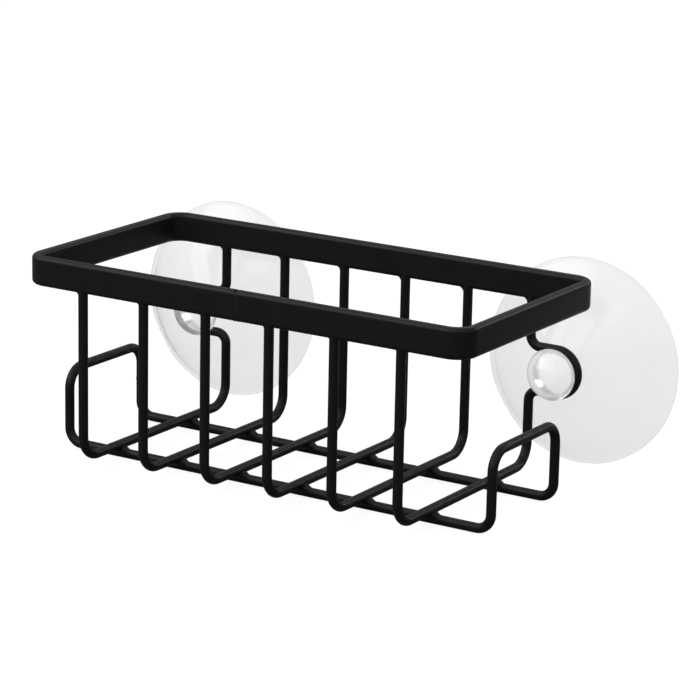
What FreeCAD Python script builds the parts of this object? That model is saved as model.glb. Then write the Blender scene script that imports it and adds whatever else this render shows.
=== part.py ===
import FreeCAD, Part
import math
import os

# Wire sponge basket hung on two suction cups, in millimetres.
# X runs along the basket, Y from its open front to the wall behind it, Z up.
# The origin is on the surface the basket can stand on, under the middle of its outer box.

# Flat strip bent into the top rim
RIM_LENGTH = 145.6
RIM_DEPTH = 74.6
RIM_TOP_HEIGHT = 61.5
RIM_CORNER_INNER_RADIUS = 3.5
STRIP_HEIGHT = 8.8
STRIP_THICKNESS = 3.0
STRIP_EDGE_RADIUS = 1.35

# Butt weld that closes the rim in the middle of its front
RIM_SEAM_GAP = 0.8
RIM_SEAM_LAP = 0.6
RIM_SEAM_PROUD = 0.2

# Coated wire of the basket
WIRE_DIAMETER = 2.8
WIRE_COUNT = 6
END_WIRE_INSET = 20.3
WIRE_BEND_RADIUS = 6.5
WIRE_END_SADDLE_DEPTH = 1.0
WELD_SEAT_DEPTH = 0.25

# Sideways loops in the end wires, open towards the middle of the basket
LOOP_DROP_BELOW_RIM = 20.3
LOOP_BEND_RADIUS = 3.2
LOOP_ARM_LENGTH = 5.6

# Base wire: two rails under the basket wires, turned up into a hoop at both ends
RAIL_SPACING = 35.4
HOOP_END_INSET = 1.6
HOOP_HEIGHT = 24.8
HOOP_FOOT_RADIUS = 4.4
HOOP_SHOULDER_RADIUS = 5.8

# Butt weld that closes the base wire, halfway up the back leg of its left hoop
BASE_SEAM_GAP = 0.6
BASE_SEAM_LAP = 0.8
BASE_SEAM_PROUD = 0.2

# Weld metal between wire and strip, and round each crossing of wire and rail
RIM_WELD_WIDE_LEG = 2.0
RIM_WELD_NARROW_LEG = 1.0
RIM_WELD_DEPTH = 1.6
CROSSING_WELD_REACH = 0.45

# One-piece suction cup: knob, neck in the loop, and domed disc
NECK_DIAMETER = 9.4
NECK_SIDE_CLEARANCE = 0.4
NECK_END_CLEARANCE = 0.35
KNOB_OVERHANG = 2.8
KNOB_HEIGHT = 7.4
KNOB_SKIRT_RADIUS = 2.1
BOSS_SHOULDER = 2.5
DISC_DIAMETER = 61.0
DISC_STANDOFF = 16.0
DISC_BULGE = 0.8
CROWN_THICKNESS = 3.5
LIP_THICKNESS = 1.0
LIP_LAND_WIDTH = 1.5

# A rounding takes at most this share of the room beside it
ROUND_LIMIT = 0.92
FULL_TURN = 360.0
SAME_POINT = 1e-6
UP = FreeCAD.Vector(0, 0, 1)
TO_WALL = FreeCAD.Vector(0, 1, 0)

# Sizes that follow from the ones above
WIRE_RADIUS = WIRE_DIAMETER / 2
RIM_BOTTOM = RIM_TOP_HEIGHT - STRIP_HEIGHT
STRIP_ROUND = min(STRIP_EDGE_RADIUS, ROUND_LIMIT * min(STRIP_THICKNESS, STRIP_HEIGHT) / 2)
RAIL_AXIS_HEIGHT = WIRE_RADIUS
FLOOR_AXIS_HEIGHT = RAIL_AXIS_HEIGHT + WIRE_DIAMETER - WELD_SEAT_DEPTH
WIRE_PITCH = (RIM_LENGTH - 2 * END_WIRE_INSET) / (WIRE_COUNT - 1)
UPRIGHT_SPACING = RIM_DEPTH - STRIP_THICKNESS
WIRE_TOP = RIM_BOTTOM + WIRE_END_SADDLE_DEPTH
WELD_TOP = RIM_BOTTOM + WELD_SEAT_DEPTH
LOOP_RADIUS = NECK_DIAMETER / 2 + NECK_SIDE_CLEARANCE + WIRE_RADIUS
LOOP_REACH = LOOP_BEND_RADIUS + LOOP_ARM_LENGTH
LOOP_HEIGHT = RIM_BOTTOM - LOOP_DROP_BELOW_RIM
NECK_HALF_LENGTH = WIRE_RADIUS + NECK_END_CLEARANCE
HOOP_X = RIM_LENGTH / 2 - HOOP_END_INSET
HOOP_AXIS_HEIGHT = HOOP_HEIGHT - WIRE_RADIUS
BASE_SEAM_HEIGHT = HOOP_HEIGHT / 2

# The cups stand behind the basket, so its middle lies in front of the origin
FRONT_REACH = max(WIRE_RADIUS, STRIP_THICKNESS / 2 + RIM_SEAM_PROUD)
BASKET_Y = (FRONT_REACH - DISC_STANDOFF) / 2
FRONT_Y = BASKET_Y - UPRIGHT_SPACING / 2
BACK_Y = BASKET_Y + UPRIGHT_SPACING / 2
FRONT_RAIL_Y = BASKET_Y - RAIL_SPACING / 2
BACK_RAIL_Y = BASKET_Y + RAIL_SPACING / 2


def vec(x, y, z):
    return FreeCAD.Vector(x, y, z)


def line(start, end):
    return Part.LineSegment(start, end).toShape()


def wire_x(index):
    """Place of one basket wire along the basket, counted from the left."""
    return (index - (WIRE_COUNT - 1) / 2) * WIRE_PITCH


def corner_bend(before, corner, after, radius):
    """Tangent arc that rounds a corner: where it starts, its edge, and where it ends."""
    back = (before - corner).normalize()
    ahead = (after - corner).normalize()
    half_angle = back.getAngle(ahead) / 2
    trim = radius / math.tan(half_angle)
    start = corner + back * trim
    end = corner + ahead * trim
    to_centre = (back + ahead).normalize()
    middle = corner + to_centre * (radius / math.sin(half_angle) - radius)
    return start, Part.Arc(start, middle, end).toShape(), end


def bent_path(corners, radii):
    """Straight runs through the corners, with a tangent arc at each one between the ends."""
    edges = []
    place = corners[0]
    for before, corner, after, radius in zip(corners, corners[1:], corners[2:], radii):
        start, bend, end = corner_bend(before, corner, after, radius)
        if place.distanceToPoint(start) > SAME_POINT:
            edges.append(line(place, start))
        edges.append(bend)
        place = end
    edges.append(line(place, corners[-1]))
    return Part.Wire(edges)


def bent_wire(corners, radii):
    """Round wire of the basket's gauge along a bent path."""
    section = Part.Circle(corners[0], corners[1] - corners[0], WIRE_RADIUS).toShape()
    return bent_path(corners, radii).makePipeShell([Part.Wire(section)], True, False)


def rim_outline(inset, corner_radius):
    """Face inside the rim's outline, moved in by the inset, at the strip's lower edge."""
    x = RIM_LENGTH / 2 - inset
    front = BASKET_Y - RIM_DEPTH / 2 + inset
    back = BASKET_Y + RIM_DEPTH / 2 - inset
    middle = vec(0, front, RIM_BOTTOM)
    corners = [vec(x, front, RIM_BOTTOM), vec(x, back, RIM_BOTTOM)]
    corners += [vec(-x, back, RIM_BOTTOM), vec(-x, front, RIM_BOTTOM)]
    return Part.Face(bent_path([middle] + corners + [middle], [corner_radius] * len(corners)))


def top_rim():
    """Flat strip standing on edge, bent round the top, with a gap for its butt weld."""
    outer = rim_outline(0, RIM_CORNER_INNER_RADIUS + STRIP_THICKNESS)
    inner = rim_outline(STRIP_THICKNESS, RIM_CORNER_INNER_RADIUS)
    ring = outer.cut(inner).extrude(UP * STRIP_HEIGHT)
    level_edges = [edge for edge in ring.Edges if edge.BoundBox.ZLength < SAME_POINT]
    ring = ring.makeFillet(STRIP_ROUND, level_edges)
    gap = Part.makeBox(RIM_SEAM_GAP, STRIP_THICKNESS, STRIP_HEIGHT)
    gap.translate(vec(-RIM_SEAM_GAP / 2, FRONT_Y - STRIP_THICKNESS / 2, RIM_BOTTOM))
    return ring.cut(gap)


def rim_seam_weld(rim):
    """Weld metal that fills the gap in the strip, laps both ends and stands proud all round."""
    width = RIM_SEAM_GAP + 2 * RIM_SEAM_LAP
    depth = STRIP_THICKNESS + 2 * RIM_SEAM_PROUD
    height = STRIP_HEIGHT + 2 * RIM_SEAM_PROUD
    bead = Part.makeBox(width, depth, height)
    bead.translate(vec(-width / 2, FRONT_Y - depth / 2, RIM_BOTTOM - RIM_SEAM_PROUD))
    edges_along = [edge for edge in bead.Edges if edge.BoundBox.XLength > SAME_POINT]
    return bead.makeFillet(STRIP_ROUND, edges_along).cut(rim)


def basket_wire(index, rim):
    """U of wire from the front of the rim, under the basket, to its back, with ends shaped to the strip."""
    x = wire_x(index)
    corners = [
        vec(x, FRONT_Y, WIRE_TOP),
        vec(x, FRONT_Y, FLOOR_AXIS_HEIGHT),
        vec(x, BACK_Y, FLOOR_AXIS_HEIGHT),
        vec(x, BACK_Y, WIRE_TOP),
    ]
    return bent_wire(corners, [WIRE_BEND_RADIUS, WIRE_BEND_RADIUS]).cut(rim)


def end_wire(index, outward, rim):
    """U of wire whose back upright turns outward round a loop for the suction cup's neck."""
    x = wire_x(index)
    tip_x = x + outward * (LOOP_REACH + LOOP_RADIUS)
    low = LOOP_HEIGHT - LOOP_RADIUS
    high = LOOP_HEIGHT + LOOP_RADIUS
    corners = [
        vec(x, FRONT_Y, WIRE_TOP),
        vec(x, FRONT_Y, FLOOR_AXIS_HEIGHT),
        vec(x, BACK_Y, FLOOR_AXIS_HEIGHT),
        vec(x, BACK_Y, low),
        vec(tip_x, BACK_Y, low),
        vec(tip_x, BACK_Y, high),
        vec(x, BACK_Y, high),
        vec(x, BACK_Y, WIRE_TOP),
    ]
    loop_radii = [LOOP_BEND_RADIUS, LOOP_RADIUS, LOOP_RADIUS, LOOP_BEND_RADIUS]
    return bent_wire(corners, [WIRE_BEND_RADIUS, WIRE_BEND_RADIUS] + loop_radii).cut(rim)


def base_wire(crossing_wires):
    """One wire for both rails and both end hoops, with a seat under each wire that crosses it."""
    low = RAIL_AXIS_HEIGHT
    high = HOOP_AXIS_HEIGHT
    corners = [
        vec(-HOOP_X, BACK_RAIL_Y, BASE_SEAM_HEIGHT + BASE_SEAM_GAP / 2),
        vec(-HOOP_X, BACK_RAIL_Y, high),
        vec(-HOOP_X, FRONT_RAIL_Y, high),
        vec(-HOOP_X, FRONT_RAIL_Y, low),
        vec(HOOP_X, FRONT_RAIL_Y, low),
        vec(HOOP_X, FRONT_RAIL_Y, high),
        vec(HOOP_X, BACK_RAIL_Y, high),
        vec(HOOP_X, BACK_RAIL_Y, low),
        vec(-HOOP_X, BACK_RAIL_Y, low),
        vec(-HOOP_X, BACK_RAIL_Y, BASE_SEAM_HEIGHT - BASE_SEAM_GAP / 2),
    ]
    shoulders = [HOOP_SHOULDER_RADIUS, HOOP_SHOULDER_RADIUS]
    feet = [HOOP_FOOT_RADIUS, HOOP_FOOT_RADIUS]
    return bent_wire(corners, shoulders + feet + shoulders + feet).cut(crossing_wires)


def base_seam_weld(base):
    """Barrel of weld metal between the two ends of the base wire, lapping both."""
    half_length = BASE_SEAM_GAP / 2 + BASE_SEAM_LAP
    foot = vec(0, 0, -half_length)
    head = vec(0, 0, half_length)
    low_edge = vec(WIRE_RADIUS, 0, -half_length)
    high_edge = vec(WIRE_RADIUS, 0, half_length)
    barrel = Part.Arc(low_edge, vec(WIRE_RADIUS + BASE_SEAM_PROUD, 0, 0), high_edge).toShape()
    outline = [line(foot, low_edge), barrel, line(high_edge, head), line(head, foot)]
    bead = Part.Face(Part.Wire(outline)).revolve(vec(0, 0, 0), UP, FULL_TURN)
    bead.translate(vec(-HOOP_X, BACK_RAIL_Y, BASE_SEAM_HEIGHT))
    return bead.cut(base)


def weld_hollow(side_x, outward, leg, y):
    """Hollow face of a weld beside a wire: its toe in the strip, its curve, and its heel in the wire."""
    radius = leg + 2 * WELD_SEAT_DEPTH
    corner = vec(side_x - outward * WELD_SEAT_DEPTH, y, WELD_TOP)
    toe = corner + vec(outward * radius, 0, 0)
    heel = corner - UP * radius
    return toe, corner_bend(toe, corner, heel, radius)[1], heel


def rim_weld(x, y, rim, wire):
    """Weld metal under the strip, with a wide leg left of the wire and a narrow one right of it."""
    left_toe, left_curve, left_heel = weld_hollow(x - WIRE_RADIUS, -1, RIM_WELD_WIDE_LEG, y)
    right_toe, right_curve, right_heel = weld_hollow(x + WIRE_RADIUS, 1, RIM_WELD_NARROW_LEG, y)
    outline = [left_curve, line(left_heel, right_heel), right_curve, line(right_toe, left_toe)]
    profile = Part.Face(Part.Wire(Part.sortEdges(outline)[0]))
    slab = profile.extrude(TO_WALL * (2 * RIM_WELD_DEPTH))
    slab.translate(TO_WALL * -RIM_WELD_DEPTH)
    length = right_toe.x - left_toe.x
    foot = vec((left_toe.x + right_toe.x) / 2, y, min(left_heel.z, right_heel.z))
    plan = Part.Ellipse(foot, max(length, RIM_WELD_DEPTH) / 2, min(length, RIM_WELD_DEPTH) / 2)
    column = Part.Face(Part.Wire(plan.toShape())).extrude(UP * (WELD_TOP - foot.z))
    return slab.common(column).cut([rim, wire])


def crossing_weld(x, y, base, wire):
    """Weld metal squeezed out round the seat of a basket wire on a rail."""
    seat = vec(x, y, (RAIL_AXIS_HEIGHT + FLOOR_AXIS_HEIGHT) / 2)
    return Part.makeSphere(WIRE_RADIUS + CROSSING_WELD_REACH, seat).cut([base, wire])


def domed_arc(crown, edge):
    """Arc from a crown on the turning axis out to an edge, square to the axis at the crown."""
    rise = edge.y - crown.y
    radius = (edge.x ** 2 + rise ** 2) / (2 * rise)
    centre = vec(0, crown.y + radius, 0)
    towards = ((crown - centre) + (edge - centre)).normalize()
    return Part.Arc(crown, centre + towards * abs(radius), edge).toShape()


def suction_cup(x):
    """Round cup turned about an axis that runs to the wall through the loop's centre."""
    neck = NECK_DIAMETER / 2
    knob = neck + KNOB_OVERHANG
    boss = neck + BOSS_SHOULDER
    disc = DISC_DIAMETER / 2
    skirt = min(KNOB_SKIRT_RADIUS, ROUND_LIMIT * min(KNOB_OVERHANG, KNOB_HEIGHT))
    tip = vec(0, -NECK_HALF_LENGTH - KNOB_HEIGHT, 0)
    knob_edge = vec(knob, -NECK_HALF_LENGTH - skirt, 0)
    knob_corner = vec(knob, -NECK_HALF_LENGTH, 0)
    knob_heel = vec(knob - skirt, -NECK_HALF_LENGTH, 0)
    neck_front = vec(neck, -NECK_HALF_LENGTH, 0)
    neck_back = vec(neck, NECK_HALF_LENGTH, 0)
    boss_edge = vec(boss, NECK_HALF_LENGTH, 0)
    lip_front = vec(disc, DISC_STANDOFF - LIP_THICKNESS, 0)
    lip_back = vec(disc, DISC_STANDOFF, 0)
    land_edge = vec(disc - LIP_LAND_WIDTH, DISC_STANDOFF, 0)
    cavity_crown = vec(0, NECK_HALF_LENGTH + CROWN_THICKNESS, 0)
    slope = lip_front - boss_edge
    outward = vec(slope.y, -slope.x, 0).normalize()
    dome_middle = (boss_edge + lip_front) / 2 + outward * DISC_BULGE
    outline = [
        domed_arc(tip, knob_edge),
        corner_bend(knob_edge, knob_corner, knob_heel, skirt)[1],
        line(knob_heel, neck_front),
        line(neck_front, neck_back),
        line(neck_back, boss_edge),
        Part.Arc(boss_edge, dome_middle, lip_front).toShape(),
        line(lip_front, lip_back),
        line(lip_back, land_edge),
        domed_arc(cavity_crown, land_edge),
        line(cavity_crown, tip),
    ]
    cup = Part.Face(Part.Wire(outline)).revolve(vec(0, 0, 0), TO_WALL, FULL_TURN)
    cup.translate(vec(x, BACK_Y, LOOP_HEIGHT))
    return cup


def holder():
    """Every piece of the holder, by the name of its node."""
    last = WIRE_COUNT - 1
    rim = top_rim()
    wires = {"left_end_wire": end_wire(0, -1, rim)}
    for index in range(1, last):
        wires[f"basket_wire_{index + 1}"] = basket_wire(index, rim)
    wires["right_end_wire"] = end_wire(last, 1, rim)
    base = base_wire(list(wires.values()))
    pieces = {"top_rim": rim, "rim_seam_weld": rim_seam_weld(rim)}
    pieces.update(wires)
    pieces["base_wire"] = base
    pieces["base_seam_weld"] = base_seam_weld(base)
    for side, upright_y, rail_y in (("front", FRONT_Y, FRONT_RAIL_Y), ("back", BACK_Y, BACK_RAIL_Y)):
        rim_welds = []
        rail_welds = []
        for index, wire in enumerate(wires.values()):
            rim_welds.append(rim_weld(wire_x(index), upright_y, rim, wire))
            rail_welds.append(crossing_weld(wire_x(index), rail_y, base, wire))
        pieces[f"{side}_rim_welds"] = Part.makeCompound(rim_welds)
        pieces[f"{side}_rail_welds"] = Part.makeCompound(rail_welds)
    pieces["left_suction_cup"] = suction_cup(wire_x(0) - LOOP_REACH)
    pieces["right_suction_cup"] = suction_cup(wire_x(last) + LOOP_REACH)
    return pieces


os.makedirs("parts", exist_ok=True)
for name, shape in holder().items():
    shape.exportStep(f"parts/{name}.step")
    state = "valid" if shape.isValid() else "NOT VALID"
    print(f"{name}: {len(shape.Solids)} solids, {shape.Volume:.1f} mm3, {state}")
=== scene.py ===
import math

import bmesh
import bpy
from mathutils import Matrix, Vector, noise


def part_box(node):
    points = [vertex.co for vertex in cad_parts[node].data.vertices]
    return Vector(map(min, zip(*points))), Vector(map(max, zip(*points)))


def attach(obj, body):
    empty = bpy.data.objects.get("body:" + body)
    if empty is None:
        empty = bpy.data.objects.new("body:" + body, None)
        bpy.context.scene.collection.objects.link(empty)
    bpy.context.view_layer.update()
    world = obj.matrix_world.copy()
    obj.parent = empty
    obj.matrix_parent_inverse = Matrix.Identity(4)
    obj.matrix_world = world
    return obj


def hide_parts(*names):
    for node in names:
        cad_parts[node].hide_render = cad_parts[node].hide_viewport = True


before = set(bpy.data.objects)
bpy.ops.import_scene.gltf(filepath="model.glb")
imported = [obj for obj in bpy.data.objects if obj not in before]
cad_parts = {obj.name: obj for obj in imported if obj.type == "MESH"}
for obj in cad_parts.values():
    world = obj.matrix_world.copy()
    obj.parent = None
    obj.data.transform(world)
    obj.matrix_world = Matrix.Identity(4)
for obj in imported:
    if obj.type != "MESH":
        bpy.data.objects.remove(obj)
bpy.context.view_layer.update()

# Lengths are in metres in the part's own frame; one millimetre of it
MM = 0.001

# Photograph: its side in pixels, and the camera that lines the basket up with it
IMAGE_SIDE = 700
FOCAL_PIXELS = 2987.431
SENSOR_WIDTH = 36.0
CAMERA_AZIMUTH = math.radians(31.897)
CAMERA_ELEVATION = math.radians(14.942)
CAMERA_ROLL = math.radians(1.225)
CAMERA_DISTANCE = 849.844 * MM
CAMERA_SHIFT_RIGHT = 12.161 * MM
CAMERA_SHIFT_UP = 3.045 * MM
LOOK_AT_HEIGHT = 33.65 * MM
NEAREST_SEEN = 0.01
FARTHEST_SEEN = 50.0

# Wire and strip of the basket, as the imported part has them
END_WIRES = ("left_end_wire", "right_end_wire")
PLAIN_WIRES = tuple(f"basket_wire_{number}" for number in range(2, 6))
RIM_LOW, RIM_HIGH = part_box("top_rim")
BASE_LOW, BASE_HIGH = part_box("base_wire")
PLAIN_LOW, PLAIN_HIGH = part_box(PLAIN_WIRES[0])
WIRE_RADIUS = (PLAIN_HIGH.x - PLAIN_LOW.x) / 2
STRIP_HEIGHT = RIM_HIGH.z - RIM_LOW.z
STRIP_THICKNESS = 3.0 * MM
STRIP_ROUND = 1.35 * MM
BASKET_Y = (RIM_LOW.y + RIM_HIGH.y) / 2

# Suction cup, turned about an axis that points to the wall
CUP_SEGMENTS = 192
NECK_RADIUS = 4.7 * MM
NECK_HALF_LENGTH = WIRE_RADIUS + 0.35 * MM
NECK_ROUND = 0.3 * MM
KNOB_RADIUS = 7.5 * MM
KNOB_SKIRT = 2.1 * MM
PARTING_LINE_WIDTH = 0.36 * MM
PARTING_LINE_HEIGHT = 0.02 * MM
BOSS_RADIUS = 7.2 * MM
BOSS_EDGE_WIDTH = 0.45 * MM
BOSS_ROUND = BOSS_EDGE_WIDTH / 2
DISC_STANDOFF = 16.0 * MM
DISC_BULGE = 0.8 * MM
CROWN_THICKNESS = 3.5 * MM
LIP_THICKNESS = 1.0 * MM
LIP_LAND = 1.5 * MM
LIP_FRONT_ROUND = 0.75 * MM
LIP_BACK_ROUND = 0.2 * MM

# Fineness of the meshes: length of a step along an arc, fewest steps in one, and the angle of a sharp edge
ARC_STEP = 0.45 * MM
FINE_ARC_STEP = 0.08 * MM
FEWEST_ARC_STEPS = 4
SHARP_ANGLE = math.radians(50)

# Welds: points round one ring, and rings along a weld that stands upright
WELD_SEGMENTS = 40
WELD_RINGS = 14

# Welds under the rim: how they flare from a wire into the strip, with legs of their own at front and back
FLARE_HEEL_SINK = 0.05 * MM
FLARE_STRIP_INSET = 0.12 * MM
FLARE_TOE_LAP = 0.1 * MM
FLARE_TOE_SINK = 0.3 * MM
FLARE_CAP_SINK = 0.35 * MM
FLARE_LUMP = 1.2 * MM
FLARE_LUMP_CIRCLE = 1.0 * MM
FLARE_UNEVEN = 0.35
FRONT_FIRST_LEG = 1.4 * MM
FRONT_LEG_STEP = 0.14 * MM
FRONT_NARROW_LEG = 0.3 * MM
BACK_WIDE_LEG = 2.2 * MM
BACK_NARROW_LEG = 0.5 * MM

# Welds where a basket wire crosses a rail
CROSSING_STATIONS = 32
CROSSING_REACH = 3.2 * MM
CROSSING_RISE = 3.2 * MM
CROSSING_SINK = 0.08 * MM
CROSSING_END_WIDTH = 2.2 * MM
CROSSING_MIDDLE_WIDTH = 3.6 * MM
CROSSING_LUMP = 1.5 * MM
CROSSING_UNEVEN = 0.2

# Ground seam in the front strip
SEAM_STATIONS = 41
SEAM_ROUND_STEPS = 10
SEAM_SIDE_STEPS = 16
SEAM_PROUD = 0.1 * MM
SEAM_SINK = 0.03 * MM
SEAM_BUMP = 0.1 * MM
SEAM_LUMP = 1.1 * MM
SEAM_UNEVEN = 0.8
SEAM_NICK_DEPTH = 0.45 * MM
SEAM_NICK_HALF_WIDTH = 0.62 * MM
SEAM_GROOVE_DEPTH = 0.2 * MM
SEAM_GROOVE_HALF_WIDTH = 0.34 * MM

# Seam in the base wire
BASE_SEAM_SWELL = 0.15 * MM
BASE_SEAM_SINK = 0.04 * MM
BASE_SEAM_LUMP = 1.6 * MM
BASE_SEAM_UNEVEN = 1.2

# Cloudy noise: its middle value, and the stretch that most of its values lie in
NOISE_MIDDLE = 0.5
NOISE_STRETCH = (0.3, 0.7)

# Orange peel: slow waves for each pebble, and how high they stand beside one
PEEL_WAVES_PER_PEBBLE = 0.18
PEEL_WAVE_HEIGHT = 0.8

# Dust and painted top light: upward share of a face's direction, patches of the noise, and the cover that
# they give
DUST_AND_LIGHT_UPWARD = (0.1, 1.0)
DUST_AND_LIGHT_PATCH = (0.35, 0.7)
DUST_AND_LIGHT_COVER = (0.45, 1.0)

# Rubbed lines: half width of a line in the noise, and the patches that hold lines
RUB_HALF_WIDTH = 0.008
RUB_PATCHES_PER_METRE = 30.0
RUB_PATCH = (0.5, 0.66)

# Moulded skin: height of its tool rings beside its flow marks
TOOL_RING_HEIGHT = 0.03

# Black coat: its grey bare and under dust with painted light on the tops, how much it shines, and what
# rubbing and waves change
COAT_GREY = 0.0066
DUST_AND_TOP_LIGHT_GREY = 0.009
COAT_SPECULAR = 0.125
COAT_SHEEN_BELOW = 0.04
COAT_SHEEN_ABOVE = 0.05
RUBBED_PALENESS = 0.35
RUBBED_POLISH = 0.1

# Clear plastic: its surface gloss, and what flow marks change in its tint and haze
CLEAR_GLOSS = 0.3
CLEAR_TINT_CHANGE = 0.02
CLEAR_HAZE_BELOW = 0.03
CLEAR_HAZE_ABOVE = 0.04

# Studio: its middle, and the share of its white that reflections keep when they see it through the cups
STUDIO_CENTRE = Vector((0, BASKET_Y, LOOK_AT_HEIGHT))
WHITE_LEFT_IN_GLOSS = 0.4

# Floor of the studio: half its side, its own grey, and the glow that the eye sees
FLOOR_HALF_SIDE = 5.0
FLOOR_GREY = 0.14
FLOOR_ROUGHNESS = 0.8
FLOOR_SPECULAR = 0.1
FLOOR_GLOW = 0.88

# Surroundings: brightness from the horizon up to the ceiling, and the share of it from front to back
CEILING_RISE = (0.0, 0.35)
CEILING_BRIGHTNESS = (0.08, 1.25)
BACKWARD_TURN = (-0.3, 0.5)
BACKWARD_SHARE = (1.0, 0.35)


def new_group(name, inputs, outputs):
    """Shader node group with named number sockets, and its input and output nodes."""
    group = bpy.data.node_groups.new(name, "ShaderNodeTree")
    for socket, value in inputs.items():
        made = group.interface.new_socket(socket, in_out="INPUT", socket_type="NodeSocketFloat")
        made.default_value = value
    for socket in outputs:
        group.interface.new_socket(socket, in_out="OUTPUT", socket_type="NodeSocketFloat")
    return group, group.nodes.new("NodeGroupInput"), group.nodes.new("NodeGroupOutput")


def feed(tree, socket, value):
    """Set a socket to a number, or link it to another socket."""
    if isinstance(value, (int, float)):
        socket.default_value = value
    else:
        tree.links.new(value, socket)


def math_node(tree, operation, first, second=0.0):
    """Result of a sum on one or two sockets or numbers."""
    node = tree.nodes.new("ShaderNodeMath")
    node.operation = operation
    feed(tree, node.inputs[0], first)
    feed(tree, node.inputs[1], second)
    return node.outputs[0]


def noise_node(tree, coordinates, scale, detail, roughness=0.5):
    """Cloudy value between nought and one over the coordinates."""
    node = tree.nodes.new("ShaderNodeTexNoise")
    node.inputs["Detail"].default_value = detail
    node.inputs["Roughness"].default_value = roughness
    tree.links.new(coordinates, node.inputs["Vector"])
    feed(tree, node.inputs["Scale"], scale)
    return node.outputs["Fac"]


def range_node(tree, value, given, wanted):
    """Value stretched from the given range to the wanted one and held at the ends."""
    node = tree.nodes.new("ShaderNodeMapRange")
    for socket, number in zip(("From Min", "From Max", "To Min", "To Max"), (*given, *wanted)):
        node.inputs[socket].default_value = number
    tree.links.new(value, node.inputs["Value"])
    return node.outputs["Result"]


def split_node(tree, vector):
    """Node whose outputs are the vector's parts."""
    node = tree.nodes.new("ShaderNodeSeparateXYZ")
    tree.links.new(vector, node.inputs["Vector"])
    return node


def object_coordinates(tree):
    """Place on the piece, in its own axes."""
    return tree.nodes.new("ShaderNodeTexCoord").outputs["Object"]


def orange_peel_group():
    """Pebbled skin of baked powder: fine bumps on slow waves."""
    group, given, result = new_group("Orange peel", {"Bumps per metre": 900.0}, ("Height", "Sheen change"))
    place = object_coordinates(group)
    density = given.outputs["Bumps per metre"]
    pebbles = noise_node(group, place, density, detail=2.0)
    slow_density = math_node(group, "MULTIPLY", density, PEEL_WAVES_PER_PEBBLE)
    waves = noise_node(group, place, slow_density, detail=1.0)
    height = math_node(group, "ADD", pebbles, math_node(group, "MULTIPLY", waves, PEEL_WAVE_HEIGHT))
    group.links.new(height, result.inputs["Height"])
    group.links.new(waves, result.inputs["Sheen change"])
    return group


def dust_and_top_light_group():
    """Film of dust that lies on faces turned upward and thins out in patches; its paler grey is also painted
    light on those tops.
    """
    group, given, result = new_group("Dust and painted top light", {"Patches per metre": 120.0}, ("Mask",))
    facing = split_node(group, group.nodes.new("ShaderNodeNewGeometry").outputs["Normal"])
    # Painted light: faces turned up get a paler grey, partly for dust and partly for light falling on the
    # tops.
    lying = range_node(group, facing.outputs["Z"], DUST_AND_LIGHT_UPWARD, (0.0, 1.0))
    density = given.outputs["Patches per metre"]
    patches = noise_node(group, object_coordinates(group), density, detail=6.0, roughness=0.65)
    thinned = range_node(group, patches, DUST_AND_LIGHT_PATCH, DUST_AND_LIGHT_COVER)
    group.links.new(math_node(group, "MULTIPLY", lying, thinned), result.inputs["Mask"])
    return group


def rub_marks_group():
    """Fine rubbed lines in scattered patches, where hands and cutlery have touched the coat."""
    group, given, result = new_group("Rub marks", {"Marks per metre": 70.0}, ("Mask",))
    place = object_coordinates(group)
    ripple = noise_node(group, place, given.outputs["Marks per metre"], detail=2.0)
    off_line = math_node(group, "ABSOLUTE", math_node(group, "SUBTRACT", ripple, NOISE_MIDDLE))
    line = range_node(group, off_line, (0.0, RUB_HALF_WIDTH), (1.0, 0.0))
    cloud = noise_node(group, place, RUB_PATCHES_PER_METRE, detail=2.0)
    patch = range_node(group, cloud, RUB_PATCH, (0.0, 1.0))
    group.links.new(math_node(group, "MULTIPLY", line, patch), result.inputs["Mask"])
    return group


def moulded_skin_group():
    """Skin a mould leaves on a turned piece: tool rings about the axis, and slow flow marks."""
    densities = {"Rings per metre": 1500.0, "Flow per metre": 120.0}
    group, given, result = new_group("Moulded skin", densities, ("Height", "Flow"))
    place = object_coordinates(group)
    parts = split_node(group, place)
    across = math_node(group, "MULTIPLY", parts.outputs["X"], parts.outputs["X"])
    upright = math_node(group, "MULTIPLY", parts.outputs["Z"], parts.outputs["Z"])
    from_axis = math_node(group, "SQRT", math_node(group, "ADD", across, upright))
    turn = math_node(group, "MULTIPLY", from_axis, given.outputs["Rings per metre"])
    rings = math_node(group, "SINE", math_node(group, "MULTIPLY", turn, math.tau))
    flow = noise_node(group, place, given.outputs["Flow per metre"], detail=3.0)
    height = math_node(group, "ADD", flow, math_node(group, "MULTIPLY", rings, TOOL_RING_HEIGHT))
    group.links.new(height, result.inputs["Height"])
    group.links.new(flow, result.inputs["Flow"])
    return group


ORANGE_PEEL = orange_peel_group()
DUST_AND_TOP_LIGHT = dust_and_top_light_group()
RUB_MARKS = rub_marks_group()
MOULDED_SKIN = moulded_skin_group()


def use_group(tree, group, **values):
    """One use of a shared group in a material, with its own values."""
    node = tree.nodes.new("ShaderNodeGroup")
    node.node_tree = group
    for socket, value in values.items():
        node.inputs[socket.replace("_", " ")].default_value = value
    return node


def new_material(name):
    """Material with a Principled shader; returns the material, its tree and the shader."""
    material = bpy.data.materials.new(name)
    material.use_nodes = True
    tree = material.node_tree
    return material, tree, tree.nodes["Principled BSDF"]


def relief(tree, shader, height, depth):
    """Surface relief from a height, that many metres deep."""
    node = tree.nodes.new("ShaderNodeBump")
    node.inputs["Distance"].default_value = depth
    tree.links.new(height, node.inputs["Height"])
    tree.links.new(node.outputs["Normal"], shader.inputs["Normal"])


def grey_mix(tree, mask, first, second):
    """Grey that runs from the first to the second as the mask rises."""
    node = tree.nodes.new("ShaderNodeMix")
    node.data_type = "RGBA"
    node.inputs["A"].default_value = (first, first, first, 1.0)
    node.inputs["B"].default_value = (second, second, second, 1.0)
    tree.links.new(mask, node.inputs["Factor"])
    return node.outputs["Result"]


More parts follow.
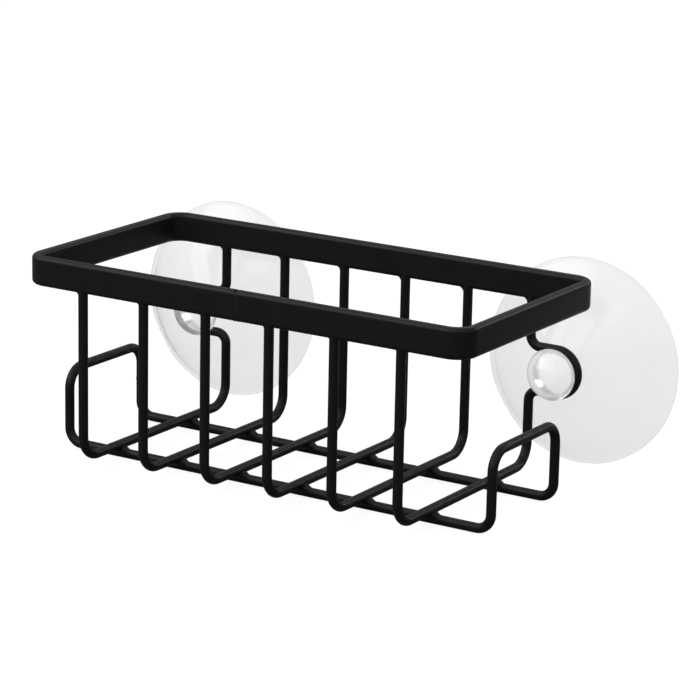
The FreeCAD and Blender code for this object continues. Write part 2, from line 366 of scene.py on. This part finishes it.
def black_powder_coat(name, bumps_per_metre, depth, satin):
    """Satin black powder coat with orange peel, a few rubbed lines, and a little dust on top whose paler grey
    is also painted light on the upward faces.
    """
    material, tree, shader = new_material(name)
    peel = use_group(tree, ORANGE_PEEL, Bumps_per_metre=bumps_per_metre)
    dust_and_top_light = use_group(tree, DUST_AND_TOP_LIGHT).outputs["Mask"]
    rubbed = use_group(tree, RUB_MARKS).outputs["Mask"]
    # Upward faces are paler, partly dust and partly painted top light; rubbed lines are paler wear.
    paler = math_node(tree, "MAXIMUM", dust_and_top_light, math_node(tree, "MULTIPLY", rubbed, RUBBED_PALENESS))
    tree.links.new(grey_mix(tree, paler, COAT_GREY, DUST_AND_TOP_LIGHT_GREY), shader.inputs["Base Color"])
    satins = (satin - COAT_SHEEN_BELOW, satin + COAT_SHEEN_ABOVE)
    sheen = range_node(tree, peel.outputs["Sheen change"], NOISE_STRETCH, satins)
    rubbed_sheen = math_node(tree, "SUBTRACT", sheen, math_node(tree, "MULTIPLY", rubbed, RUBBED_POLISH))
    tree.links.new(rubbed_sheen, shader.inputs["Roughness"])
    shader.inputs["Specular IOR Level"].default_value = COAT_SPECULAR
    relief(tree, shader, peel.outputs["Height"], depth)
    return material


def clear_soft_plastic(name, tint, clearness, haze, bending, gloss_blur, flow_per_metre, depth):
    """Clear moulded plastic with faint flow marks and tool rings."""
    material, tree, shader = new_material(name)
    skin = use_group(tree, MOULDED_SKIN, Flow_per_metre=flow_per_metre)
    flow = skin.outputs["Flow"]
    tinted = grey_mix(tree, flow, tint - CLEAR_TINT_CHANGE, tint + CLEAR_TINT_CHANGE)
    tree.links.new(tinted, shader.inputs["Base Color"])
    sheen = range_node(tree, flow, NOISE_STRETCH, (haze - CLEAR_HAZE_BELOW, haze + CLEAR_HAZE_ABOVE))
    tree.links.new(sheen, shader.inputs["Roughness"])
    shader.inputs["Transmission Weight"].default_value = clearness
    shader.inputs["IOR"].default_value = bending
    shader.inputs["Coat Weight"].default_value = CLEAR_GLOSS
    shader.inputs["Coat Roughness"].default_value = gloss_blur
    relief(tree, shader, skin.outputs["Height"], depth)
    return material


def seen_plainly(tree):
    """One for camera rays, straight or through clear plastic, less after a reflection; nought for others."""
    path = tree.nodes.new("ShaderNodeLightPath")
    plain = math_node(tree, "MAXIMUM", path.outputs["Is Camera Ray"], path.outputs["Is Transmission Ray"])
    reflected = math_node(tree, "MINIMUM", path.outputs["Glossy Depth"], 1.0)
    share = range_node(tree, reflected, (0.0, 1.0), (1.0, WHITE_LEFT_IN_GLOSS))
    return math_node(tree, "MULTIPLY", plain, share)


def set_material(piece, *materials):
    """Give a piece these materials and no others."""
    piece.data.materials.clear()
    for material in materials:
        piece.data.materials.append(material)


def round_turns(count):
    """That many angles, evenly spaced round a circle."""
    return [math.tau * step / count for step in range(count)]


def skinned_piece(name, shells, place=(0, 0, 0)):
    """Piece skinned over rings of points; a ring of one point closes an end of its shell."""
    shape = bmesh.new()
    for rings in shells:
        rows = [[shape.verts.new(point) for point in ring] for ring in rings]
        for before, after in zip(rows, rows[1:]):
            for step in range(max(len(before), len(after))):
                corners = [row[turn % len(row)] for row, turn in
                           ((before, step), (before, step + 1), (after, step + 1), (after, step))]
                shape.faces.new(list(dict.fromkeys(corners)))
    bmesh.ops.recalc_face_normals(shape, faces=shape.faces)
    mesh = bpy.data.meshes.new(name)
    shape.to_mesh(mesh)
    shape.free()
    mesh.shade_smooth()
    mesh.set_sharp_from_angle(angle=SHARP_ANGLE)
    piece = bpy.data.objects.new(name, mesh)
    piece.location = place
    bpy.context.scene.collection.objects.link(piece)
    return piece


def arc_points(start, middle, end, step=ARC_STEP):
    """Points along the arc through three points, without the first one."""
    (ax, ay), (bx, by), (cx, cy) = start, middle, end
    twice_area = 2 * (ax * (by - cy) + bx * (cy - ay) + cx * (ay - by))
    a2, b2, c2 = ax * ax + ay * ay, bx * bx + by * by, cx * cx + cy * cy
    ox = (a2 * (by - cy) + b2 * (cy - ay) + c2 * (ay - by)) / twice_area
    oy = (a2 * (cx - bx) + b2 * (ax - cx) + c2 * (bx - ax)) / twice_area
    radius = math.hypot(ax - ox, ay - oy)
    first, halfway, last = (math.atan2(y - oy, x - ox) for x, y in (start, middle, end))
    turn = math.remainder(halfway - first, math.tau) + math.remainder(last - halfway, math.tau)
    count = max(FEWEST_ARC_STEPS, math.ceil(abs(turn) * radius / step))
    angles = [first + turn * index / count for index in range(1, count + 1)]
    return [(ox + radius * math.cos(angle), oy + radius * math.sin(angle)) for angle in angles]


def rounded_corner(before, corner, after, radius):
    """Points of the tangent arc that rounds a corner of a section."""
    at = Vector(corner)
    back = (Vector(before) - at).normalized()
    ahead = (Vector(after) - at).normalized()
    half = back.angle(ahead) / 2
    trim = radius / math.tan(half)
    start, end = at + back * trim, at + ahead * trim
    middle = at + (back + ahead).normalized() * (radius / math.sin(half) - radius)
    return [tuple(start)] + arc_points(start, middle, end, FINE_ARC_STEP)


def dome_middle(crown, edge):
    """Point halfway along the arc that leaves a crown on the axis square to it and ends at the edge."""
    rise = edge[1] - crown[1]
    radius = (edge[0] ** 2 + rise ** 2) / (2 * abs(rise))
    half = math.atan2(edge[0], radius - abs(rise)) / 2
    return radius * math.sin(half), crown[1] + math.copysign(radius * (1 - math.cos(half)), rise)


def knob_front(tip):
    """Half section of the knob from its tip, over its parting line, to the foot of its skirt."""
    side = (KNOB_RADIUS, -NECK_HALF_LENGTH - KNOB_SKIRT)
    bow = KNOB_SKIRT * (1 - math.sqrt(0.5))
    skirt_middle = (KNOB_RADIUS - bow, -NECK_HALF_LENGTH - bow)
    dome = arc_points((0.0, tip), dome_middle((0.0, tip), side), side, FINE_ARC_STEP)
    points = [(0.0, tip)]
    for radius, along in dome:
        ridge = PARTING_LINE_HEIGHT * max(0.0, 1 - ((side[1] - along) / PARTING_LINE_WIDTH) ** 2)
        points.append((radius + ridge, along))
    return points + arc_points(side, skirt_middle, (KNOB_RADIUS - KNOB_SKIRT, -NECK_HALF_LENGTH))


def cup_profile(disc_radius, tip):
    """Half section of the cup from its tip round to the crown of its hollow: radius, way to the wall."""
    heel = (KNOB_RADIUS - KNOB_SKIRT, -NECK_HALF_LENGTH)
    neck_front = (NECK_RADIUS, -NECK_HALF_LENGTH)
    neck_back = (NECK_RADIUS, NECK_HALF_LENGTH)
    boss = (BOSS_RADIUS, NECK_HALF_LENGTH)
    lip_front = (disc_radius, DISC_STANDOFF - LIP_THICKNESS)
    lip_back = (disc_radius, DISC_STANDOFF)
    land_edge = (disc_radius - LIP_LAND, DISC_STANDOFF)
    crown = (0.0, NECK_HALF_LENGTH + CROWN_THICKNESS)
    run, rise = lip_front[0] - boss[0], lip_front[1] - boss[1]
    bow = DISC_BULGE / math.hypot(run, rise)
    dome = ((boss[0] + lip_front[0]) / 2 + rise * bow, (boss[1] + lip_front[1]) / 2 - run * bow)
    face = arc_points(boss, dome, lip_front)
    face_start, face_end = BOSS_RADIUS + BOSS_EDGE_WIDTH, disc_radius - LIP_FRONT_ROUND
    points = knob_front(tip)
    points += rounded_corner(heel, neck_front, neck_back, NECK_ROUND)
    points += rounded_corner(neck_front, neck_back, boss, NECK_ROUND)
    points += rounded_corner(neck_back, boss, face[0], BOSS_ROUND)
    points += [point for point in face if face_start < point[0] < face_end]
    points += rounded_corner(face[-3], lip_front, lip_back, LIP_FRONT_ROUND)
    points += rounded_corner(lip_front, lip_back, land_edge, LIP_BACK_ROUND)
    points += [land_edge]
    return points + arc_points(land_edge, dome_middle(crown, land_edge), crown)[:-1] + [crown]


def turned_rings(profile):
    """Rings of a half section turned about the Y axis."""
    turns = round_turns(CUP_SEGMENTS)
    rings = [[(0.0, profile[0][1], 0.0)]]
    for radius, along in profile[1:-1]:
        rings.append([(radius * math.cos(turn), along, radius * math.sin(turn)) for turn in turns])
    return rings + [[(0.0, profile[-1][1], 0.0)]]


def suction_cup(side, disc_plastic, knob_plastic):
    """Clear cup that stands for the CAD cup of that side; its knob and neck have a plastic of their own."""
    node = f"{side}_suction_cup"
    low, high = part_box(node)
    loop_y = high.y - DISC_STANDOFF
    disc_radius = min(high.x - low.x, high.z - low.z) / 2
    profile = cup_profile(disc_radius, low.y - loop_y)
    middle = ((low.x + high.x) / 2, loop_y, (low.z + high.z) / 2)
    cup = skinned_piece(f"{side}_clear_cup", [turned_rings(profile)], middle)
    set_material(cup, disc_plastic, knob_plastic)
    for face in cup.data.polygons:
        face.material_index = int(face.center.y < NECK_HALF_LENGTH / 2)
    cup.visible_shadow = False
    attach(cup, f"{side}_cup")
    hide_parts(node)


def wire_places():
    """Where each basket wire stands along the basket, from the left."""
    left, right = (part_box(name) for name in END_WIRES)
    plain = [(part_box(name)[0].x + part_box(name)[1].x) / 2 for name in PLAIN_WIRES]
    return [left[1].x - WIRE_RADIUS] + plain + [right[0].x + WIRE_RADIUS]


def lump(place, size):
    """Uneven value about nought, repeatable, for a place on a weld; size is the width of its lumps."""
    return noise.noise(Vector(place) / size)


def weld_piece(name, shells, coat):
    """Coated weld metal that stands for the CAD welds of the same name."""
    piece = skinned_piece(f"{name}_metal", shells)
    set_material(piece, coat)
    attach(piece, "basket")
    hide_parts(name)


def flared_weld(place, wide_leg, narrow_leg):
    """Rings of a weld that flares from an upright wire into the strip above it, widest on the left."""
    heel_radius = WIRE_RADIUS - FLARE_HEEL_SINK
    strip_reach = STRIP_THICKNESS / 2 - FLARE_STRIP_INSET
    turns = round_turns(WELD_SEGMENTS)
    legs = []
    for turn in turns:
        leftward = max(0.0, -math.cos(turn)) ** 2
        spot = place + Vector((math.cos(turn), math.sin(turn), 0)) * FLARE_LUMP_CIRCLE
        uneven = 1 + FLARE_UNEVEN * lump(spot, FLARE_LUMP)
        legs.append((narrow_leg + (wide_leg - narrow_leg) * leftward) * uneven)
    rings = [[place - Vector((0, 0, wide_leg))]]
    for level in range(WELD_RINGS + 1):
        share = level / WELD_RINGS
        sweep = share ** 2
        ring = []
        for turn, leg in zip(turns, legs):
            drop = leg * (1 - share) ** 2 - FLARE_TOE_SINK * sweep
            out_x = heel_radius + (leg + FLARE_TOE_LAP) * sweep
            out_y = heel_radius + (strip_reach - heel_radius) * sweep
            ring.append(place + Vector((out_x * math.cos(turn), out_y * math.sin(turn), -drop)))
        rings.append(ring)
    return rings + [[place + Vector((0, 0, FLARE_CAP_SINK))]]


def crossing_weld(x, y, rail_height, rib_height):
    """Rings of a weld that fills the corners where a basket wire crosses a rail, drawn out along the rail."""
    start = Vector((x - CROSSING_REACH, y, rail_height))
    turns = round_turns(WELD_SEGMENTS)
    rings = [[start]]
    for station in range(1, CROSSING_STATIONS):
        share = station / CROSSING_STATIONS
        near = 1 - abs(2 * share - 1)
        place = start + Vector((2 * CROSSING_REACH * share, 0, 0))
        uneven = 1 + CROSSING_UNEVEN * lump(place, CROSSING_LUMP)
        rise = CROSSING_RISE * uneven * near ** 2
        top = min(rib_height, rail_height + WIRE_RADIUS - CROSSING_SINK + rise)
        half_height = (top - rail_height) / 2
        half_width = (CROSSING_END_WIDTH + (CROSSING_MIDDLE_WIDTH - CROSSING_END_WIDTH) * near * uneven) / 2
        middle = place + Vector((0, 0, half_height))
        rings.append([middle + Vector((0, half_width * math.cos(turn), half_height * math.sin(turn)))
                      for turn in turns])
    return rings + [[start + Vector((2 * CROSSING_REACH, 0, 0))]]


def strip_section():
    """Outline of the strip's section about its middle: across, up, and the outward direction."""
    half_width = STRIP_THICKNESS / 2 - STRIP_ROUND
    half_height = STRIP_HEIGHT / 2 - STRIP_ROUND
    outline = []
    for quarter, (across, up) in enumerate(((1, 1), (-1, 1), (-1, -1), (1, -1))):
        for step in range(SEAM_ROUND_STEPS + 1):
            turn = math.pi / 2 * (quarter + step / SEAM_ROUND_STEPS)
            out_across, out_up = math.cos(turn), math.sin(turn)
            point_across = across * half_width + STRIP_ROUND * out_across
            point_up = up * half_height + STRIP_ROUND * out_up
            outline.append((point_across, point_up, out_across, out_up))
        if across != up:
            for step in range(1, SEAM_SIDE_STEPS):
                height = up * half_height * (1 - 2 * step / SEAM_SIDE_STEPS)
                outline.append((across * STRIP_THICKNESS / 2, height, across, 0.0))
    return outline


def rim_seam():
    """Rings of the ground butt weld in the front strip: nearly flush, nicked on top, with a bump below."""
    low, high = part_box("rim_seam_weld")
    middle = Vector((0, (low.y + high.y) / 2, (low.z + high.z) / 2))
    half_length = high.x
    section = strip_section()
    rings = [[middle - Vector((half_length, 0, 0))]]
    for station in range(SEAM_STATIONS):
        x = half_length * (2 * station / (SEAM_STATIONS - 1) - 1)
        flush = 1 - (x / half_length) ** 2
        nick = SEAM_NICK_DEPTH * math.exp(-(x / SEAM_NICK_HALF_WIDTH) ** 4)
        groove = SEAM_GROOVE_DEPTH * math.exp(-(x / SEAM_GROOVE_HALF_WIDTH) ** 2)
        ring = []
        for across, up, out_across, out_up in section:
            place = middle + Vector((x, across, up))
            proud = SEAM_PROUD * flush * (1 + SEAM_UNEVEN * lump(place, SEAM_LUMP)) - SEAM_SINK
            proud += SEAM_BUMP * flush * max(0.0, -out_up) ** 2 - nick * max(0.0, out_up) ** 2 - groove
            ring.append(place + Vector((0, out_across, out_up)) * proud)
        rings.append(ring)
    return rings + [[middle + Vector((half_length, 0, 0))]]


def base_seam():
    """Rings of the lumpy bead that joins the ends of the base wire, on an upright leg of a hoop."""
    low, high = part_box("base_seam_weld")
    foot = Vector(((low.x + high.x) / 2, (low.y + high.y) / 2, low.z))
    length = high.z - low.z
    rings = [[foot]]
    for level in range(WELD_RINGS + 1):
        share = level / WELD_RINGS
        rise = 1 - abs(2 * share - 1)
        ring = []
        for turn in round_turns(WELD_SEGMENTS):
            out = Vector((math.cos(turn), math.sin(turn), 0))
            place = foot + Vector((0, 0, share * length)) + out * WIRE_RADIUS
            uneven = 1 + BASE_SEAM_UNEVEN * lump(place, BASE_SEAM_LUMP)
            full = BASE_SEAM_SWELL * uneven * math.sin(rise * math.pi / 2) * abs(out.x)
            ring.append(place + out * (full - BASE_SEAM_SINK))
        rings.append(ring)
    return rings + [[foot + Vector((0, 0, length))]]


def weld_metal(coat):
    """Every weld of the basket; those under the front of the rim grow smaller from left to right."""
    places = wire_places()
    front_y = RIM_LOW.y + STRIP_THICKNESS / 2
    back_y = RIM_HIGH.y - STRIP_THICKNESS / 2
    legs = [FRONT_FIRST_LEG - FRONT_LEG_STEP * number for number in range(len(places))]
    front = [flared_weld(Vector((x, front_y, RIM_LOW.z)), leg, FRONT_NARROW_LEG)
             for x, leg in zip(places, legs)]
    back = [flared_weld(Vector((x, back_y, RIM_LOW.z)), BACK_WIDE_LEG, BACK_NARROW_LEG) for x in places]
    weld_piece("front_rim_welds", front, coat)
    weld_piece("back_rim_welds", back, coat)
    rail_height = BASE_LOW.z + WIRE_RADIUS
    rib_height = PLAIN_LOW.z + WIRE_RADIUS
    rails = {"front_rail_welds": BASE_LOW.y + WIRE_RADIUS, "back_rail_welds": BASE_HIGH.y - WIRE_RADIUS}
    for name, y in rails.items():
        weld_piece(name, [crossing_weld(x, y, rail_height, rib_height) for x in places], coat)
    weld_piece("rim_seam_weld", [rim_seam()], coat)
    weld_piece("base_seam_weld", [base_seam()], coat)


def pale_floor():
    """Plain pale floor that glows to the eye, as a light table does, so that shadows stay faint."""
    half = FLOOR_HALF_SIDE
    corners = [(-half, -half, 0), (half, -half, 0), (half, half, 0), (-half, half, 0)]
    mesh = bpy.data.meshes.new("floor")
    mesh.from_pydata(corners, [], [(0, 1, 2, 3)])
    floor = bpy.data.objects.new("floor", mesh)
    bpy.context.scene.collection.objects.link(floor)
    material, tree, shader = new_material("pale_floor")
    shader.inputs["Base Color"].default_value = (FLOOR_GREY, FLOOR_GREY, FLOOR_GREY, 1.0)
    shader.inputs["Roughness"].default_value = FLOOR_ROUGHNESS
    shader.inputs["Specular IOR Level"].default_value = FLOOR_SPECULAR
    tree.links.new(seen_plainly(tree), shader.inputs["Emission Color"])
    shader.inputs["Emission Strength"].default_value = FLOOR_GLOW
    set_material(floor, material)


def soft_box(name, place, width, height, radiance):
    """Studio light that faces the basket; radiance is how bright its face looks."""
    light = bpy.data.lights.new(name, "AREA")
    light.shape = "RECTANGLE"
    light.size = width
    light.size_y = height
    light.energy = radiance * math.pi * width * height
    lamp = bpy.data.objects.new(name, light)
    lamp.location = place
    lamp.rotation_euler = (STUDIO_CENTRE - Vector(place)).to_track_quat("-Z", "Y").to_euler()
    lamp.visible_camera = False
    bpy.context.scene.collection.objects.link(lamp)


def studio_light():
    """Pale surroundings, a soft box high on the left, one in front that glints on the discs, two behind."""
    world = bpy.data.worlds.new("studio")
    world.use_nodes = True
    tree = world.node_tree
    way = split_node(tree, tree.nodes.new("ShaderNodeTexCoord").outputs["Generated"])
    ceiling = range_node(tree, way.outputs["Z"], CEILING_RISE, CEILING_BRIGHTNESS)
    share = range_node(tree, way.outputs["Y"], BACKWARD_TURN, BACKWARD_SHARE)
    brightness = math_node(tree, "MAXIMUM", math_node(tree, "MULTIPLY", ceiling, share), seen_plainly(tree))
    tree.links.new(brightness, tree.nodes["Background"].inputs["Strength"])
    tree.nodes["Background"].inputs["Color"].default_value = (1.0, 1.0, 1.0, 1.0)
    bpy.context.scene.world = world
    soft_box("left_box", place=(-0.66, -0.55, 0.64), width=0.75, height=0.75, radiance=2.6)
    soft_box("front_box", place=(-0.08, -1.3, 0.87), width=1.0, height=0.55, radiance=1.7)
    soft_box("back_box", place=(0.72, 1.2, 0.54), width=1.0, height=0.5, radiance=2.5)
    soft_box("rear_box", place=(-0.25, 0.8, 1.05), width=0.9, height=0.6, radiance=1.8)
    bpy.context.scene.view_settings.view_transform = "Standard"


def photo_camera():
    """Camera at the photograph's place, angle and focal length."""
    back = Vector((math.sin(CAMERA_AZIMUTH) * math.cos(CAMERA_ELEVATION),
                   -math.cos(CAMERA_AZIMUTH) * math.cos(CAMERA_ELEVATION),
                   math.sin(CAMERA_ELEVATION)))
    level = Vector((0, 0, 1)).cross(back).normalized()
    upright = back.cross(level)
    right = math.cos(CAMERA_ROLL) * level + math.sin(CAMERA_ROLL) * upright
    up = math.cos(CAMERA_ROLL) * upright - math.sin(CAMERA_ROLL) * level
    place = STUDIO_CENTRE + back * CAMERA_DISTANCE + right * CAMERA_SHIFT_RIGHT + up * CAMERA_SHIFT_UP
    lens = bpy.data.cameras.new("photo_camera")
    lens.sensor_width = SENSOR_WIDTH
    lens.lens = FOCAL_PIXELS * SENSOR_WIDTH / IMAGE_SIDE
    lens.clip_start = NEAREST_SEEN
    lens.clip_end = FARTHEST_SEEN
    camera = bpy.data.objects.new("photo_camera", lens)
    camera.matrix_world = Matrix.Translation(place) @ Matrix((right, up, back)).transposed().to_4x4()
    bpy.context.scene.collection.objects.link(camera)
    bpy.context.scene.camera = camera


strip_coat = black_powder_coat("strip_coat", bumps_per_metre=900.0, depth=0.004 * MM, satin=0.36)
wire_coat = black_powder_coat("wire_coat", bumps_per_metre=1100.0, depth=0.003 * MM, satin=0.38)
weld_coat = black_powder_coat("weld_coat", bumps_per_metre=1500.0, depth=0.008 * MM, satin=0.5)
set_material(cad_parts["top_rim"], strip_coat)
for name in (*END_WIRES, *PLAIN_WIRES, "base_wire"):
    set_material(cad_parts[name], wire_coat)
weld_metal(weld_coat)
disc_plastic = clear_soft_plastic("clear_disc", tint=0.79, clearness=0.95, haze=0.16, bending=1.12,
                                  gloss_blur=0.1, flow_per_metre=120.0, depth=0.02 * MM)
knob_plastic = clear_soft_plastic("clear_knob", tint=0.88, clearness=0.78, haze=0.2, bending=1.33,
                                  gloss_blur=0.2, flow_per_metre=300.0, depth=0.08 * MM)
for side in ("left", "right"):
    suction_cup(side, disc_plastic, knob_plastic)
pale_floor()
studio_light()
photo_camera()
